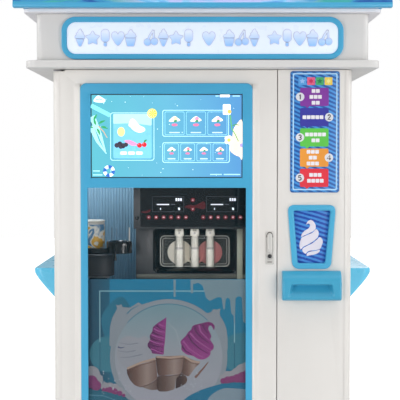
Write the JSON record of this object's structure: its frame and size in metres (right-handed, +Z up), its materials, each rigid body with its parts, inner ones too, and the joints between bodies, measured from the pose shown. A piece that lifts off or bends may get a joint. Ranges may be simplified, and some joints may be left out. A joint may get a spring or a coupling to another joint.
{
  "type": "soft serve vending kiosk",
  "caption": "Walk-up soft serve kiosk with a lit canopy sign, hinged screen door, window onto a three-plunger freezer, and a sliding pick-up hatch.",
  "frame": {"origin": "on the floor, under the centre of the roof", "axes": "+Z up, +X to the customer's right as they face the machine, +Y from the front to the back"},
  "size_m": [1.686, 1.36, 2.18],
  "materials": {
    "cabinet_white": "satin",
    "trim_blue": "satin",
    "art_blue": "satin",
    "roof_print": "satin",
    "stainless": "satin",
    "plinth_grey": "satin",
    "foot_rubber": "matte",
    "seal_rubber": "matte",
    "sign_light": "satin",
    "rail_aluminium": "satin",
    "dark_plastic": "satin",
    "black_gloss": "gloss",
    "clear_acrylic": "gloss",
    "window_glass": "gloss",
    "screen": "gloss",
    "cream_plastic": "satin",
    "ribbed_blue": "matte",
    "film_teal": "satin",
    "compressor_black": "satin"
  },
  "bodies": {
    "kiosk": {"base_frame": "plinth_grey", "foot_front_left": "foot_rubber", "foot_front_right": "foot_rubber", "foot_back_left": "foot_rubber", "foot_back_right": "foot_rubber", "left_side_panel": "cabinet_white", "right_side_panel": "cabinet_white", "back_panel": "cabinet_white", "ceiling_panel": "cabinet_white", "column_panel": "cabinet_white", "centre_post": "cabinet_white", "hinge_bracket_top": "stainless", "hinge_bracket_bottom": "stainless", "ribbed_liner": "ribbed_blue", "cornice": "cabinet_white", "sign_housing": "cabinet_white", "sign_frame": "trim_blue", "sign_diffuser": "sign_light", "sign_lamp": "sign_light", "roof_moulding": "cabinet_white", "roof_cap": "roof_print", "side_shelf_left": "trim_blue", "side_shelf_right": "trim_blue", "instruction_plate": "art_blue", "pickup_frame": "trim_blue", "spoon_tray": "trim_blue", "hatch_track": "rail_aluminium", "hatch_motor": "dark_plastic", "freezer_housing": "stainless", "control_head": "stainless", "control_panel": "black_gloss", "drip_surround": "dark_plastic", "dispensing_head": "clear_acrylic", "lift_actuators": "dark_plastic", "freezing_barrels": "stainless", "mix_hopper": "stainless", "compressor": "compressor_black", "cup_dropper": "dark_plastic", "topping_dispenser": "dark_plastic", "topping_canister": "cream_plastic", "transport_rail": "rail_aluminium"},
    "front_door": {"main_door": "cabinet_white", "door_surround": "trim_blue", "touch_screen": "screen", "window_glass": "window_glass", "door_gasket": "seal_rubber", "lock_plate": "stainless"},
    "lock_spindle": {"lock_spindle": "stainless"},
    "lock_handle": {"lock_handle": "stainless"},
    "key_cylinder": {"key_cylinder": "stainless"},
    "pickup_hatch": {"pickup_hatch": "art_blue"},
    "plunger_left": {"plunger_left": "cream_plastic"},
    "plunger_centre": {"plunger_centre": "cream_plastic"},
    "plunger_right": {"plunger_right": "cream_plastic"},
    "beater_left": {"beater_left": "cream_plastic"},
    "beater_right": {"beater_right": "cream_plastic"},
    "hopper_lid": {"hopper_lid": "stainless"},
    "cooling_fan": {"cooling_fan": "dark_plastic"},
    "cup_carriage": {"cup_carriage": "dark_plastic"},
    "cup_holder": {"cup_holder": "stainless"}
  },
  "joints": [
    {"name": "front_door_hinge", "type": "hinge", "parent": "kiosk", "child": "front_door", "pos_m": [-0.668, -0.5, 0.97], "axis": [0, 0, -1], "range_deg": [0, 110]},
    {"name": "lock_turn", "type": "hinge", "parent": "front_door", "child": "lock_spindle", "pos_m": [0.31, -0.5, 1.074], "axis": [0, 1, 0], "range_deg": [-90, 0]},
    {"name": "lock_handle_lift", "type": "hinge", "parent": "lock_spindle", "child": "lock_handle", "pos_m": [0.31, -0.5305, 1.082], "axis": [-1, 0, 0], "range_deg": [0, 35]},
    {"name": "key_turn", "type": "hinge", "parent": "front_door", "child": "key_cylinder", "pos_m": [0.31, -0.52, 0.977], "axis": [0, 1, 0], "range_deg": [0, 90]},
    {"name": "hatch_slide", "type": "slide", "parent": "kiosk", "child": "pickup_hatch", "axis": [0, 0, 1], "range_m": [0, 0.25]},
    {"name": "plunger_left_lift", "type": "slide", "parent": "kiosk", "child": "plunger_left", "axis": [0, 0, 1], "range_m": [0, 0.025]},
    {"name": "plunger_centre_lift", "type": "slide", "parent": "kiosk", "child": "plunger_centre", "axis": [0, 0, 1], "range_m": [0, 0.025]},
    {"name": "plunger_right_lift", "type": "slide", "parent": "kiosk", "child": "plunger_right", "axis": [0, 0, 1], "range_m": [0, 0.025]},
    {"name": "beater_left_spin", "type": "hinge", "parent": "kiosk", "child": "beater_left", "pos_m": [-0.112, 0.03, 0.963], "axis": [0, 1, 0], "continuous": true},
    {"name": "beater_right_spin", "type": "hinge", "parent": "kiosk", "child": "beater_right", "pos_m": [0.038, 0.03, 0.963], "axis": [0, 1, 0], "continuous": true},
    {"name": "hopper_lid_hinge", "type": "hinge", "parent": "kiosk", "child": "hopper_lid", "pos_m": [-0.037, 0.43, 1.3985], "axis": [-1, 0, 0], "range_deg": [0, 75]},
    {"name": "fan_spin", "type": "hinge", "parent": "kiosk", "child": "cooling_fan", "pos_m": [0.12, 0.489, 0.33], "axis": [0, 1, 0], "continuous": true},
    {"name": "cup_carriage_travel", "type": "slide", "parent": "kiosk", "child": "cup_carriage", "axis": [1, 0, 0], "range_m": [0, 0.909]},
    {"name": "cup_lift", "type": "slide", "parent": "cup_carriage", "child": "cup_holder", "axis": [0, 0, 1], "range_m": [0, 0.15]}
  ]
}
